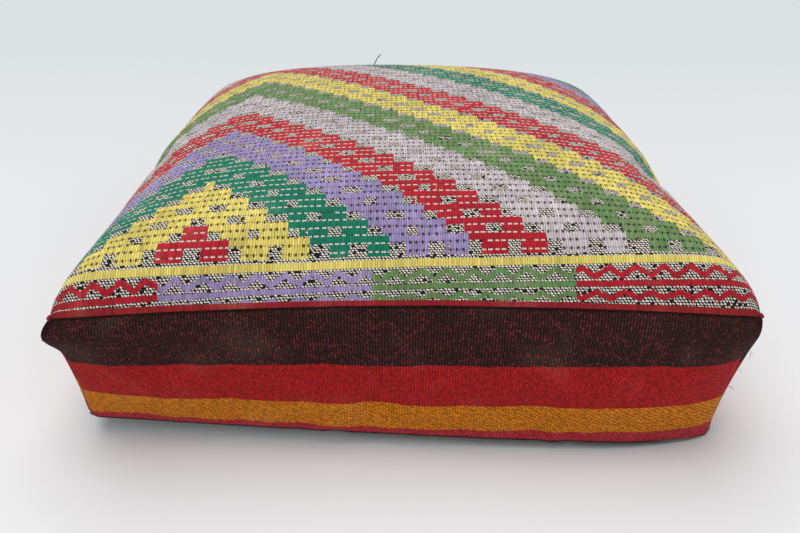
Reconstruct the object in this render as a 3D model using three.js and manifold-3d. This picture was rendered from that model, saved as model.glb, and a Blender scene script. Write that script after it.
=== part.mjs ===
// A box-shaped floor cushion: a woven cover of six sewn panels with a zip in its back,
// and a stuffed insert inside it.
// Millimetres, +Z up, front towards -Y. The origin is on the floor, under the middle.
import * as THREE from "three";
import { mergeVertices } from "three/addons/utils/BufferGeometryUtils.js";
import Module from "manifold-3d";

// Overall sizes of the filled cover
const WIDTH = 600; // left to right, between the top corners
const DEPTH = 600; // front to back, between the top corners
const BOTTOM_SEAM_HEIGHT = 14; // the seam rides above the floor, because the bottom panel bulges
const GUSSET_HEIGHT = 127; // from the bottom seam to the top seam
const CROWN = 70; // rise of the top panel above its seam

// Shape of the stuffed cover
const TOP_CORNER_RADIUS = 18;
const BOTTOM_CORNER_RADIUS = 42;
const BOTTOM_INSET = 7; // how far the bottom seam stands inside the top one
const TOP_PULL_IN = 17; // the stuffing draws the middle of each top edge inwards
const CORNER_TUCK = 6; // the gusset's corners draw in between the seams
const CORNER_TUCK_SHARPNESS = 24;
const CROWN_FLATNESS = 3.8;
const CROWN_SHOULDER = 0.67;
const BOTTOM_ROUNDING = 40; // the margin of the bottom panel that is off the floor

// Cloth and sewing
const CLOTH = 2.5; // kilim thickness
const BACKING = 1.2; // bottom cotton thickness
const SEAM_ALLOWANCE = 12;
const SEAM_GROOVE = 0.8; // half the height of the groove that holds the seam thread
const THREAD_RADIUS = 0.4;
const CORNER_THREAD_TRIM = 8; // the corner threads stop this short of the seams
const GAP = 0.3; // between neighbouring pieces

// Insert
const CASING = 1;
const INSERT_CLEARANCE = 0.8; // between the cover's walls and top and the insert in it
const INSERT_SHOULDER_DROP = 7.5; // the insert is rounder than the cover along the top seam
const INSERT_ZIP_SHARE = 0.3; // the share of the gusset's height below which the insert clears the zip
const INSERT_WALL_RISE = 14; // the insert passes inside the seam allowances over this height

// Zip
const ZIP_LENGTH = 400;
const ZIP_OPENING = 15;
const ZIP_FOLD_CLEARANCE = 0.5; // between the lower tape and the gusset's turned-in edge
const TAPE_WIDTH = 11;
const TAPE = 0.8;
const TAPE_CLEARANCE = 0.6; // the gusset leans a little over the tape's length
const COIL_WIDTH = 2.2;
const COIL_THICKNESS = 2;
const COIL_SPACING = 2; // between the two coils, where the slider's post runs
const STOP_LENGTH = 4;
const SLIDER_LENGTH = 10;
const SLIDER_PLATE = 1;
const SLIDER_FLANGE = 1;
const SLIDER_POST = 1.2;
const BRIDGE_LENGTH = 8;
const BRIDGE_HEIGHT = 3.8;
const BRIDGE_BAR = 1.2;
const BRIDGE_WIDTH = 1.6;
const PULL_LENGTH = 24;
const PULL_WIDTH = 6;
const PULL_THICKNESS = 1.2;
const PULL_EYE_LENGTH = 5.4;
const PULL_EYE_WIDTH = 3.4;

// Fineness of the facets
const STRAIGHT_STEPS = 8;
const ARC_STEPS = 2;
const SIDE_STEPS = STRAIGHT_STEPS + 2 * ARC_STEPS;
const THREAD_SIDES = 5;

const TOP_SEAM_HEIGHT = BOTTOM_SEAM_HEIGHT + GUSSET_HEIGHT;
const MIDDLE = new THREE.Vector2(0, 0);
const SIDES = ["front", "right", "back", "left"];
const CORNERS = ["front_left", "front_right", "back_right", "back_left"];

const TOP_EDGE = { halfX: WIDTH / 2, halfY: DEPTH / 2, radius: TOP_CORNER_RADIUS, pull: TOP_PULL_IN };
const BOTTOM_EDGE = {
  halfX: WIDTH / 2 - BOTTOM_INSET,
  halfY: DEPTH / 2 - BOTTOM_INSET,
  radius: BOTTOM_CORNER_RADIUS,
  pull: 0,
};

const wasm = await Module();
wasm.setup();

const cushion = new THREE.Group();

function addPiece(name, geometry, { color, roughness = 0.95, metalness = 0 }) {
  const mesh = new THREE.Mesh(geometry, new THREE.MeshStandardMaterial({ color, roughness, metalness }));
  mesh.name = name;
  cushion.add(mesh);
  return mesh;
}

function solidFrom(geometry) {
  const bare = geometry.clone();
  bare.deleteAttribute("normal");
  bare.deleteAttribute("uv");
  const merged = mergeVertices(bare, 1e-4);
  return new wasm.Manifold(
    new wasm.Mesh({
      numProp: 3,
      vertProperties: merged.attributes.position.array,
      triVerts: new Uint32Array(merged.index.array),
    }),
  );
}

function geometryFrom(solid) {
  const mesh = solid.getMesh();
  const geometry = new THREE.BufferGeometry();
  geometry.setAttribute("position", new THREE.BufferAttribute(mesh.vertProperties, 3));
  geometry.setIndex(new THREE.BufferAttribute(mesh.triVerts, 1));
  return geometry;
}

function geometryOf(points, faces) {
  const geometry = new THREE.BufferGeometry().setFromPoints(points);
  geometry.setIndex(faces);
  return geometry;
}

// ---- Outlines of the cover, seen from above ----

// The stations of one side, from corner to corner: the distance along the side and out from the middle.
function sideStations(halfAlong, halfOut, radius) {
  const stations = [];
  const arc = (step, end) => {
    const angle = ((Math.PI / 4) * step) / ARC_STEPS;
    const along = halfAlong - radius + radius * Math.sin(angle);
    const out = halfOut - radius + radius * Math.cos(angle);
    stations.push([end * along, out]);
  };
  for (let step = ARC_STEPS; step > 0; step--) arc(step, -1);
  for (let step = 0; step <= STRAIGHT_STEPS; step++)
    stations.push([(halfAlong - radius) * ((2 * step) / STRAIGHT_STEPS - 1), halfOut]);
  for (let step = 1; step <= ARC_STEPS; step++) arc(step, 1);
  return stations;
}

// One side of an outline, in order, as points with x and y, and with s and t from -1 to 1 across the panel.
function outlineSide(side, edge, inset = 0, share = 1) {
  const [halfAlong, halfOut] = side % 2 ? [edge.halfY, edge.halfX] : [edge.halfX, edge.halfY];
  const radius = Math.max(edge.radius - inset, 1);
  const stations = sideStations(halfAlong - inset, halfOut - inset, radius);
  const cornerAlong = stations[0][0];
  return stations.map(([along, out]) => {
    const pulledIn = edge.pull * (1 - (along / cornerAlong) ** 2);
    const turned = ([a, o]) => new THREE.Vector2(a, -o).rotateAround(MIDDLE, (side * Math.PI) / 2);
    const place = turned([along * share, (out - pulledIn) * share]);
    const square = turned([(along / halfAlong) * share, (out / halfOut) * share]);
    return { x: place.x, y: place.y, s: square.x, t: square.y };
  });
}

// A whole outline, counter-clockwise from above. Inset is in millimetres, share scales it to the middle.
function outline(edge, inset = 0, share = 1) {
  return SIDES.flatMap((_, side) => outlineSide(side, edge, inset, share).slice(0, -1));
}

const ringAt = (points, height) =>
  points.map((p) => new THREE.Vector3(p.x, p.y, typeof height === "number" ? height : height(p)));

// ---- Heights of the stuffed panels ----

const shoulder = (share) => Math.max(0, 1 - Math.abs(share) ** CROWN_FLATNESS) ** CROWN_SHOULDER;
const domeHeight = (p, rise) => TOP_SEAM_HEIGHT + rise * shoulder(p.s) * shoulder(p.t);

// The bottom panel is flat on the floor and curls up to its seam over its margin.
function bottomHeight(share, lift) {
  const reach = Math.min(1, ((1 - share) * WIDTH) / 2 / BOTTOM_ROUNDING);
  return lift + (BOTTOM_SEAM_HEIGHT - lift) * (1 - Math.sin((reach * Math.PI) / 2));
}

// ---- Skins ----

// A closed skin through rings of equal count, from the first pole to the last. Each patch is split along
// its shorter diagonal, so that skins that lie close together are split alike.
function skinOf(firstPole, rings, lastPole) {
  const count = rings[0].length;
  const points = [firstPole, ...rings.flat(), lastPole];
  const at = (ring, k) => 1 + ring * count + (k % count);
  const last = rings.length - 1;
  const faces = [];
  for (let k = 0; k < count; k++) {
    faces.push(0, at(0, k), at(0, k + 1));
    for (let ring = 0; ring < last; ring++) {
      const [a, b, c, d] = [at(ring, k), at(ring + 1, k), at(ring + 1, k + 1), at(ring, k + 1)];
      const along = points[a].distanceTo(points[c]) <= points[b].distanceTo(points[d]);
      faces.push(...(along ? [a, b, c, a, c, d] : [a, b, d, b, c, d]));
    }
    faces.push(at(last, k + 1), at(last, k), points.length - 1);
  }
  return geometryOf(points, faces);
}

// A closed bar through loops of equal count, with flat ends. The section is the ends' outline, in its plane.
function barOf(loops, section) {
  const count = section.length;
  const at = (loop, k) => loop * count + (k % count);
  const faces = [];
  for (let loop = 0; loop + 1 < loops.length; loop++)
    for (let k = 0; k < count; k++) {
      faces.push(at(loop, k), at(loop, k + 1), at(loop + 1, k + 1));
      faces.push(at(loop, k), at(loop + 1, k + 1), at(loop + 1, k));
    }
  const ends = THREE.ShapeUtils.triangulateShape(section, []);
  for (const [a, b, c] of ends) {
    faces.push(at(0, a), at(0, c), at(0, b));
    faces.push(at(loops.length - 1, a), at(loops.length - 1, b), at(loops.length - 1, c));
  }
  return geometryOf(loops.flat(), faces);
}

const DOME_SHARES = [0.25, 0.5, 0.7, 0.84, 0.93, 0.975];
const BOTTOM_SHARES = [0.4, 1 - (2 * BOTTOM_ROUNDING) / WIDTH, 0.91, 0.95, 0.98];
const ALLOWANCE_REACH = CLOTH + SEAM_ALLOWANCE;

const WOOL_BROCADE = { color: 0x9c7a52 };
const GUSSET_WOOL = { color: 0x7d201d };
const GREY_COTTON = { color: 0x7c7d7b };
const SEWING_THREAD = { color: 0x2b1d1a };
const CASING_CLOTH = { color: 0xe9e6df };
const FIBRE = { color: 0xf4f2ee };
const ZIP_TAPE = { color: 0x5b5c5b };
const ZIP_COIL = { color: 0x4a4b4a, roughness: 0.5 };
const ZIP_METAL = { color: 0xb9babc, roughness: 0.35, metalness: 1 };

// ---- Top panel: the domed brocade, solid over its seam allowance, which is turned in under it ----
function topPanel() {
  const top = (p) => domeHeight(p, CROWN);
  const underneath = (p) => top(p) - CLOTH;
  const outside = DOME_SHARES.map((share) => ringAt(outline(TOP_EDGE, 0, share), top));
  const rim = ringAt(outline(TOP_EDGE), (p) => top(p) + SEAM_GROOVE);
  const underside = [2 * SEAM_GROOVE, ALLOWANCE_REACH].map((inset) =>
    ringAt(outline(TOP_EDGE, inset), TOP_SEAM_HEIGHT + GAP / 2),
  );
  const tip = ringAt(outline(TOP_EDGE, ALLOWANCE_REACH), underneath);
  const inside = DOME_SHARES.slice(0, -1)
    .reverse()
    .map((share) => ringAt(outline(TOP_EDGE, 0, share), underneath));
  return skinOf(
    new THREE.Vector3(0, 0, TOP_SEAM_HEIGHT + CROWN),
    [...outside, rim, ...underside, tip, ...inside],
    new THREE.Vector3(0, 0, TOP_SEAM_HEIGHT + CROWN - CLOTH),
  );
}

// ---- Bottom panel: the cotton backing, with its seam allowance turned in over it ----
function bottomPanel() {
  const inside = BOTTOM_SHARES.map((share) =>
    ringAt(outline(BOTTOM_EDGE, BACKING, share), bottomHeight(share, BACKING)),
  );
  const under = BOTTOM_SEAM_HEIGHT - BACKING;
  const crease = ringAt(outline(BOTTOM_EDGE, BACKING), under);
  const tip = [under, BOTTOM_SEAM_HEIGHT - GAP / 2].map((height) =>
    ringAt(outline(BOTTOM_EDGE, ALLOWANCE_REACH), height),
  );
  const upper = ringAt(outline(BOTTOM_EDGE, 2 * SEAM_GROOVE), BOTTOM_SEAM_HEIGHT - GAP / 2);
  const rim = ringAt(outline(BOTTOM_EDGE), BOTTOM_SEAM_HEIGHT - SEAM_GROOVE);
  const outside = BOTTOM_SHARES.map((share) =>
    ringAt(outline(BOTTOM_EDGE, 0, share), bottomHeight(share, 0)),
  ).reverse();
  const steps = inside.map((ring) => ring.map((p) => p.setZ(Math.min(p.z, under - GAP))));
  return skinOf(
    new THREE.Vector3(0, 0, BACKING),
    [...steps, crease, ...tip, upper, rim, ...outside],
    new THREE.Vector3(0, 0, 0),
  );
}

// ---- Gussets: the four side strips, with their allowances turned in at both seams ----

// The wall between the seams at a share of its height. Corners tuck in halfway up.
function wallSide(side, share, inset) {
  const low = outlineSide(side, BOTTOM_EDGE, inset);
  const high = outlineSide(side, TOP_EDGE, inset);
  const lean = THREE.MathUtils.smoothstep(share, 0.2, 1);
  return outlineSide(side, TOP_EDGE).map(({ s, t }, k) => {
    const corner = Math.min(Math.abs(s), Math.abs(t)) ** CORNER_TUCK_SHARPNESS;
    const tuck = CORNER_TUCK * corner * Math.sin(Math.PI * share);
    return {
      x: THREE.MathUtils.lerp(low[k].x, high[k].x, lean) - s * tuck,
      y: THREE.MathUtils.lerp(low[k].y, high[k].y, lean) - t * tuck,
      s,
      t,
    };
  });
}

const WALL_SHARES = [0.22, 0.5, 0.75];

// The gusset's section, from the tip of the top allowance down the outside and back up the inside:
// the share of the height, the inset and the height above that share's level.
function gussetSection() {
  const half = GAP / 2;
  const outer = [...WALL_SHARES].reverse().map((share) => [share, 0, 0]);
  const inner = WALL_SHARES.map((share) => [share, CLOTH, 0]);
  return [
    [1, ALLOWANCE_REACH, -half],
    [1, 2 * SEAM_GROOVE, -half],
    [1, 0, -SEAM_GROOVE],
    ...outer,
    [0, 0, SEAM_GROOVE],
    [0, 2 * SEAM_GROOVE, half],
    [0, ALLOWANCE_REACH, half],
    [0, ALLOWANCE_REACH, CLOTH],
    [0, CLOTH, CLOTH],
    ...inner,
    [1, CLOTH, -CLOTH],
    [1, ALLOWANCE_REACH, -CLOTH],
  ];
}

function gusset(side) {
  const section = gussetSection();
  const walls = section.map(([share, inset]) => wallSide(side, share, inset));
  const along = new THREE.Vector2(1, 0).rotateAround(MIDDLE, (side * Math.PI) / 2);
  const loops = walls[0].map((_, station) => {
    const end = station === 0 ? 1 : station === SIDE_STEPS ? -1 : 0;
    return section.map(([share, inset, rise], k) => {
      const p = walls[k][station];
      const seam = share === 1 && inset === 0 ? domeHeight(p, CROWN) : TOP_SEAM_HEIGHT;
      const height = share === 1 ? seam : BOTTOM_SEAM_HEIGHT + share * GUSSET_HEIGHT;
      return new THREE.Vector3(p.x + along.x * end * GAP, p.y + along.y * end * GAP, height + rise);
    });
  });
  const mitre = loops[0].map((p) => new THREE.Vector2(-Math.hypot(p.x, p.y), p.z));
  return barOf(loops, mitre);
}

// ---- Seam threads ----
function seamThread(points, height) {
  const turns = Array.from({ length: THREAD_SIDES }, (_, k) => (k / THREAD_SIDES) * 2 * Math.PI);
  const count = points.length;
  const centre = (k) => {
    const p = points[(k + count) % count];
    return new THREE.Vector3(p.x, p.y, typeof height === "number" ? height : height(p));
  };
  const loops = points.map((_, k) => {
    const ahead = centre(k + 1).sub(centre(k - 1)).setZ(0).normalize();
    const out = new THREE.Vector3(ahead.y, -ahead.x, 0);
    const up = new THREE.Vector3(0, 0, 1);
    return turns.map((turn) =>
      centre(k)
        .addScaledVector(out, THREAD_RADIUS * Math.cos(turn))
        .addScaledVector(up, THREAD_RADIUS * Math.sin(turn)),
    );
  });
  const at = (loop, k) => (loop % count) * THREAD_SIDES + (k % THREAD_SIDES);
  const faces = [];
  for (let loop = 0; loop < count; loop++)
    for (let k = 0; k < THREAD_SIDES; k++) {
      faces.push(at(loop, k), at(loop + 1, k), at(loop + 1, k + 1));
      faces.push(at(loop, k), at(loop + 1, k + 1), at(loop, k + 1));
    }
  return geometryOf(loops.flat(), faces);
}

// The thread of a corner seam lies on the edge where two gusset ends meet, and follows its facets.
function cornerThread(corner) {
  const shares = [0, ...WALL_SHARES, 1];
  const edge = shares.map((share) => {
    const p = wallSide(corner, share, -THREAD_RADIUS - GAP)[0];
    return new THREE.Vector3(p.x, p.y, BOTTOM_SEAM_HEIGHT + share * GUSSET_HEIGHT);
  });
  const trim = CORNER_THREAD_TRIM / GUSSET_HEIGHT;
  edge[0].lerp(edge[1], trim / shares[1]);
  edge[shares.length - 1].lerp(edge[shares.length - 2], trim / (1 - shares[shares.length - 2]));
  const section = Array.from({ length: THREAD_SIDES }, (_, k) =>
    new THREE.Vector2(THREAD_RADIUS, 0).rotateAround(MIDDLE, (k / THREAD_SIDES) * 2 * Math.PI),
  );
  const loops = edge.map((p) => section.map(({ x, y }) => new THREE.Vector3(p.x + x, p.y + y, p.z)));
  return barOf(loops, section);
}

// ---- Insert: a plain casing of two halves, stuffed with fibre ----

// The rings of the insert from its top to its bottom, drawn in by some millimetres.
// The equator is where the halves meet.
function insertRings(drawnIn) {
  const clear = ALLOWANCE_REACH + INSERT_CLEARANCE + drawnIn;
  const under = (p) => domeHeight(p, CROWN) - CLOTH - INSERT_CLEARANCE - drawnIn;
  const low = (p) => Math.max(under(p) - INSERT_SHOULDER_DROP, TOP_SEAM_HEIGHT + CLOTH);
  const top = DOME_SHARES.slice(0, 4).map((share) => ringAt(outline(TOP_EDGE, 0, share), under));
  const shoulderRing = ringAt(outline(TOP_EDGE, clear), low);
  const wall = (share, inset) =>
    ringAt(
      SIDES.flatMap((_, side) => wallSide(side, share, inset).slice(0, -1)),
      BOTTOM_SEAM_HEIGHT + share * GUSSET_HEIGHT,
    );
  const rise = INSERT_WALL_RISE / GUSSET_HEIGHT;
  const snug = CLOTH + INSERT_CLEARANCE + drawnIn;
  const zipRoom = COIL_THICKNESS + TAPE + 4 * SLIDER_PLATE;
  const behindZip = wall(INSERT_ZIP_SHARE, snug + zipRoom);
  const floor = BACKING + GAP + drawnIn;
  const bottom = [...BOTTOM_SHARES]
    .slice(0, 2)
    .reverse()
    .map((share) => ringAt(outline(BOTTOM_EDGE, BACKING, share), floor));
  return {
    upper: [...top, shoulderRing, wall(1 - rise, clear), wall(0.75, snug)],
    equator: wall(0.5, snug),
    lower: [behindZip, wall(rise, clear + zipRoom), ...bottom],
    topPole: new THREE.Vector3(0, 0, TOP_SEAM_HEIGHT + CROWN - CLOTH - INSERT_CLEARANCE - drawnIn),
    bottomPole: new THREE.Vector3(0, 0, floor),
  };
}

const shifted = (ring, rise) => ring.map((p) => new THREE.Vector3(p.x, p.y, p.z + rise));

function casingUpper() {
  const [outer, inner] = [insertRings(0), insertRings(CASING)];
  const edge = [shifted(outer.equator, GAP / 2), shifted(inner.equator, GAP / 2)];
  return skinOf(outer.topPole, [...outer.upper, ...edge, ...inner.upper.reverse()], inner.topPole);
}

function casingLower() {
  const [outer, inner] = [insertRings(0), insertRings(CASING)];
  const edge = [shifted(inner.equator, -GAP / 2), shifted(outer.equator, -GAP / 2)];
  return skinOf(inner.bottomPole, [...inner.lower.reverse(), ...edge, ...outer.lower], outer.bottomPole);
}

function fibreFill() {
  const rings = insertRings(CASING + GAP);
  return skinOf(rings.topPole, [...rings.upper, rings.equator, ...rings.lower], rings.bottomPole);
}

// ---- Zip, set in a slot of the back gusset, on a plane behind the cloth ----
const BACK_FACE = DEPTH / 2 - BOTTOM_INSET;
const ZIP_HEIGHT = BOTTOM_SEAM_HEIGHT + CLOTH + ZIP_FOLD_CLEARANCE + TAPE_WIDTH + COIL_SPACING / 2;
const TAPE_FACE = BACK_FACE - CLOTH - TAPE_CLEARANCE; // the tapes lie against the inside of the gusset
const COIL_BACK = TAPE_FACE + GAP;
const COIL_FRONT = COIL_BACK + COIL_THICKNESS;
const COIL_INNER = COIL_SPACING / 2;
const COIL_OUTER = COIL_INNER + COIL_WIDTH;

function box(x0, x1, y0, y1, z0, z1) {
  const shape = new THREE.BoxGeometry(x1 - x0, y1 - y0, z1 - z0);
  return shape.translate((x0 + x1) / 2, (y0 + y1) / 2, (z0 + z1) / 2);
}

// The slot that shows the chain.
function zipSlot() {
  const half = ZIP_LENGTH / 2;
  return box(
    -half,
    half,
    BACK_FACE - 2 * CLOTH,
    BACK_FACE + 2 * CLOTH,
    ZIP_HEIGHT - ZIP_OPENING / 2,
    ZIP_HEIGHT + ZIP_OPENING / 2,
  );
}

function zipTape(side) {
  const half = ZIP_LENGTH / 2 + SEAM_ALLOWANCE;
  const edges = [ZIP_HEIGHT + side * COIL_INNER, ZIP_HEIGHT + side * (COIL_INNER + TAPE_WIDTH)];
  return box(-half, half, TAPE_FACE - TAPE, TAPE_FACE, Math.min(...edges), Math.max(...edges));
}

const CHAIN_END = ZIP_LENGTH / 2 - STOP_LENGTH - GAP;

function zipCoil(side) {
  const edges = [ZIP_HEIGHT + side * COIL_INNER, ZIP_HEIGHT + side * COIL_OUTER];
  return box(-CHAIN_END, CHAIN_END, COIL_BACK, COIL_FRONT, Math.min(...edges), Math.max(...edges));
}

// A stop closes each end of the chain, and is clamped over both tapes' edges.
function zipStop(end) {
  const near = end * (CHAIN_END + GAP);
  const far = end * (CHAIN_END + GAP + STOP_LENGTH - GAP);
  return box(
    Math.min(near, far),
    Math.max(near, far),
    COIL_BACK,
    COIL_FRONT,
    ZIP_HEIGHT - COIL_OUTER,
    ZIP_HEIGHT + COIL_OUTER,
  );
}

// The slider's section across the zip, extruded along it: two plates joined by the post, with flanges
// round the coils.
const SLIDER_INNER = COIL_OUTER + GAP;
const SLIDER_OUTER = SLIDER_INNER + SLIDER_FLANGE;
const FRONT_PLATE = COIL_FRONT + GAP;
const SLIDER_FACE = FRONT_PLATE + SLIDER_PLATE;
const BACK_PLATE = TAPE_FACE - TAPE - GAP;
const SLIDER_X = CHAIN_END - SLIDER_LENGTH / 2;
const PULL_AXIS_Y = SLIDER_FACE + (BRIDGE_HEIGHT - BRIDGE_BAR) / 2;

function zipSlider() {
  const quarter = [
    [SLIDER_POST / 2, BACK_PLATE],
    [SLIDER_OUTER, BACK_PLATE],
    [SLIDER_OUTER, BACK_PLATE - SLIDER_PLATE],
  ];
  const front = [
    [SLIDER_OUTER, SLIDER_FACE],
    [SLIDER_OUTER, COIL_BACK],
    [SLIDER_INNER, COIL_BACK],
    [SLIDER_INNER, FRONT_PLATE],
    [SLIDER_POST / 2, FRONT_PLATE],
  ];
  const half = [...front, ...quarter];
  const mirrored = half.map(([across, out]) => [-across, out]).reverse();
  const section = new THREE.Shape([...half, ...mirrored].map((corner) => new THREE.Vector2(...corner)));
  const body = new THREE.ExtrudeGeometry(section, { depth: SLIDER_LENGTH, bevelEnabled: false });
  // Section x comes to lie along +Z, section y along +Y, and the extrusion along -X.
  body.rotateY(-Math.PI / 2);
  body.translate(SLIDER_X + SLIDER_LENGTH / 2, 0, ZIP_HEIGHT);
  return geometryFrom(solidFrom(body).add(solidFrom(sliderBridge())));
}

// The arch on the slider's face that carries the pull.
function sliderBridge() {
  const half = BRIDGE_LENGTH / 2;
  const foot = SLIDER_FACE - SLIDER_PLATE / 2;
  const top = SLIDER_FACE + BRIDGE_HEIGHT;
  const arch = new THREE.Shape([
    new THREE.Vector2(-half, foot),
    new THREE.Vector2(-half + BRIDGE_BAR, foot),
    new THREE.Vector2(-half + BRIDGE_BAR, top - BRIDGE_BAR),
    new THREE.Vector2(half - BRIDGE_BAR, top - BRIDGE_BAR),
    new THREE.Vector2(half - BRIDGE_BAR, foot),
    new THREE.Vector2(half, foot),
    new THREE.Vector2(half, top),
    new THREE.Vector2(-half, top),
  ]);
  return new THREE.ExtrudeGeometry(arch, { depth: BRIDGE_WIDTH, bevelEnabled: false }).translate(
    SLIDER_X,
    0,
    ZIP_HEIGHT - BRIDGE_WIDTH / 2,
  );
}

// The pull's flat tab, with an eye whose end bar turns in the bridge.
function zipPull() {
  const half = PULL_WIDTH / 2;
  const bar = PULL_THICKNESS / 2;
  const tab = new THREE.Shape();
  tab.moveTo(bar, -half);
  tab.lineTo(bar, half);
  tab.lineTo(-PULL_LENGTH + half, half);
  tab.absarc(-PULL_LENGTH + half, 0, half, Math.PI / 2, (3 * Math.PI) / 2);
  tab.closePath();
  const eye = new THREE.Path();
  eye.moveTo(-bar, -PULL_EYE_WIDTH / 2);
  eye.lineTo(-bar, PULL_EYE_WIDTH / 2);
  eye.lineTo(-bar - PULL_EYE_LENGTH, PULL_EYE_WIDTH / 2);
  eye.lineTo(-bar - PULL_EYE_LENGTH, -PULL_EYE_WIDTH / 2);
  eye.closePath();
  tab.holes.push(eye);
  const shape = { depth: PULL_THICKNESS, bevelEnabled: false, curveSegments: 6 };
  const plate = new THREE.ExtrudeGeometry(tab, shape);
  plate.translate(0, 0, -PULL_THICKNESS / 2);
  return plate.rotateX(Math.PI / 2);
}

addPiece("top_panel", topPanel(), WOOL_BROCADE);
SIDES.forEach((name, side) => {
  const strip = gusset(side);
  const cut = name === "back" ? geometryFrom(solidFrom(strip).subtract(solidFrom(zipSlot()))) : strip;
  addPiece(`${name}_gusset`, cut, GUSSET_WOOL);
});
addPiece("bottom_panel", bottomPanel(), GREY_COTTON);

const topSeam = seamThread(outline(TOP_EDGE, -THREAD_RADIUS), (p) => domeHeight(p, CROWN));
const bottomSeam = seamThread(outline(BOTTOM_EDGE, -THREAD_RADIUS), BOTTOM_SEAM_HEIGHT);
addPiece("top_seam_thread", topSeam, SEWING_THREAD);
addPiece("bottom_seam_thread", bottomSeam, SEWING_THREAD);
CORNERS.forEach((name, corner) => addPiece(`${name}_corner_thread`, cornerThread(corner), SEWING_THREAD));

addPiece("insert_casing_upper", casingUpper(), CASING_CLOTH);
addPiece("insert_casing_lower", casingLower(), CASING_CLOTH);
addPiece("insert_fibre_fill", fibreFill(), FIBRE);

addPiece("zip_tape_upper", zipTape(1), ZIP_TAPE);
addPiece("zip_tape_lower", zipTape(-1), ZIP_TAPE);
addPiece("zip_coil_upper", zipCoil(1), ZIP_COIL);
addPiece("zip_coil_lower", zipCoil(-1), ZIP_COIL);
addPiece("zip_top_stop", zipStop(1), ZIP_METAL);
addPiece("zip_bottom_stop", zipStop(-1), ZIP_METAL);
addPiece("zip_slider", zipSlider(), ZIP_METAL);
addPiece("zip_pull", zipPull(), ZIP_METAL).position.set(SLIDER_X, PULL_AXIS_Y, ZIP_HEIGHT);

export default cushion;
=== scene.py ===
import math
import random

import bpy
import numpy as np
from mathutils import Matrix, Vector


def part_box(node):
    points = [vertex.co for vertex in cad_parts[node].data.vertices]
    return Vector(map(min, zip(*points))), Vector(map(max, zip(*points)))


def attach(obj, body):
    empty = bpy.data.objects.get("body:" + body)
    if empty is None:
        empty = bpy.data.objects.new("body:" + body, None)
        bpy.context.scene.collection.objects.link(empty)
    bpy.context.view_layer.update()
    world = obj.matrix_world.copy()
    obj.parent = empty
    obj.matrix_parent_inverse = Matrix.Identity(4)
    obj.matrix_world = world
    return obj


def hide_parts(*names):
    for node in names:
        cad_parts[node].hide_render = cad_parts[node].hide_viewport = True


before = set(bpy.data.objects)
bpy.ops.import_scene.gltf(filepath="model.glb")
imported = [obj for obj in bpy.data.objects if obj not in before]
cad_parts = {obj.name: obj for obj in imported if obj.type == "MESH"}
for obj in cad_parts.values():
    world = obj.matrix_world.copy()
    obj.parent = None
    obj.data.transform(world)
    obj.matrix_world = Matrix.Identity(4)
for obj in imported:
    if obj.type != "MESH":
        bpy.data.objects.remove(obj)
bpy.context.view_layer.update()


# ---- Camera, floor and light ----
# The cushion lies on a pale studio floor under large soft lights. The camera stands in front of it,
# above its top, and looks down on it.

MM = 0.001
CAMERA_PLACE = Vector((-13.7, -764.1, 489.5)) * MM
CAMERA_DOWN = math.radians(32.92)
CAMERA_TURN = math.radians(0.9)
CAMERA_ROLL = math.radians(0.87)
CAMERA_LENS = 31.3


def placed(name, data):
    """A new object in the scene."""
    thing = bpy.data.objects.new(name, data)
    bpy.context.scene.collection.objects.link(thing)
    return thing


ahead = Vector((
    math.sin(CAMERA_TURN) * math.cos(CAMERA_DOWN),
    math.cos(CAMERA_TURN) * math.cos(CAMERA_DOWN),
    -math.sin(CAMERA_DOWN),
))
level = Vector((math.cos(CAMERA_TURN), -math.sin(CAMERA_TURN), 0))
upward = level.cross(ahead)
camera_x = math.cos(CAMERA_ROLL) * level + math.sin(CAMERA_ROLL) * upward
camera_y = math.cos(CAMERA_ROLL) * upward - math.sin(CAMERA_ROLL) * level

camera = placed("camera", bpy.data.cameras.new("camera"))
camera.data.lens = CAMERA_LENS
camera.data.clip_start = 0.01
camera_axes = Matrix((camera_x, camera_y, -ahead)).transposed().to_4x4()
camera.matrix_world = Matrix.Translation(CAMERA_PLACE) @ camera_axes
bpy.context.scene.camera = camera
bpy.context.scene.view_settings.view_transform = "Standard"

FLOOR_HALF = 6.0
# Painted shade: the floor is coloured darker towards the back, standing in for the weaker light that
# reaches the far floor.
FLOOR_NEAR = (0.79, 0.785, 0.79, 1)
FLOOR_FAR = (0.62, 0.645, 0.66, 1)
FADE_START, FADE_END = -0.5, 1.0  # the floor's colour changes between these, going back

floor_mesh = bpy.data.meshes.new("floor")
floor_corners = [(x * FLOOR_HALF, y * FLOOR_HALF, 0) for x, y in ((-1, -1), (1, -1), (1, 1), (-1, 1))]
floor_mesh.from_pydata(floor_corners, [], [(0, 1, 2, 3)])
floor = placed("floor", floor_mesh)

floor_material = bpy.data.materials.new("pale floor")
floor_material.use_nodes = True
floor_tree = floor_material.node_tree
floor_paint = floor_tree.nodes["Principled BSDF"]
floor_point = floor_tree.nodes.new("ShaderNodeNewGeometry")
floor_split = floor_tree.nodes.new("ShaderNodeSeparateXYZ")
floor_painted_shade = floor_tree.nodes.new("ShaderNodeMapRange")
floor_painted_shade.inputs["From Min"].default_value = FADE_START
floor_painted_shade.inputs["From Max"].default_value = FADE_END
floor_color = floor_tree.nodes.new("ShaderNodeMix")
floor_color.data_type = "RGBA"
floor_color.inputs["A"].default_value = FLOOR_NEAR
floor_color.inputs["B"].default_value = FLOOR_FAR
floor_tree.links.new(floor_point.outputs["Position"], floor_split.inputs[0])
floor_tree.links.new(floor_split.outputs["Y"], floor_painted_shade.inputs["Value"])
floor_tree.links.new(floor_painted_shade.outputs["Result"], floor_color.inputs["Factor"])
floor_tree.links.new(floor_color.outputs["Result"], floor_paint.inputs["Base Color"])
floor_paint.inputs["Roughness"].default_value = 0.9
floor_paint.inputs["Specular IOR Level"].default_value = 0
floor_mesh.materials.append(floor_material)


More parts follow.
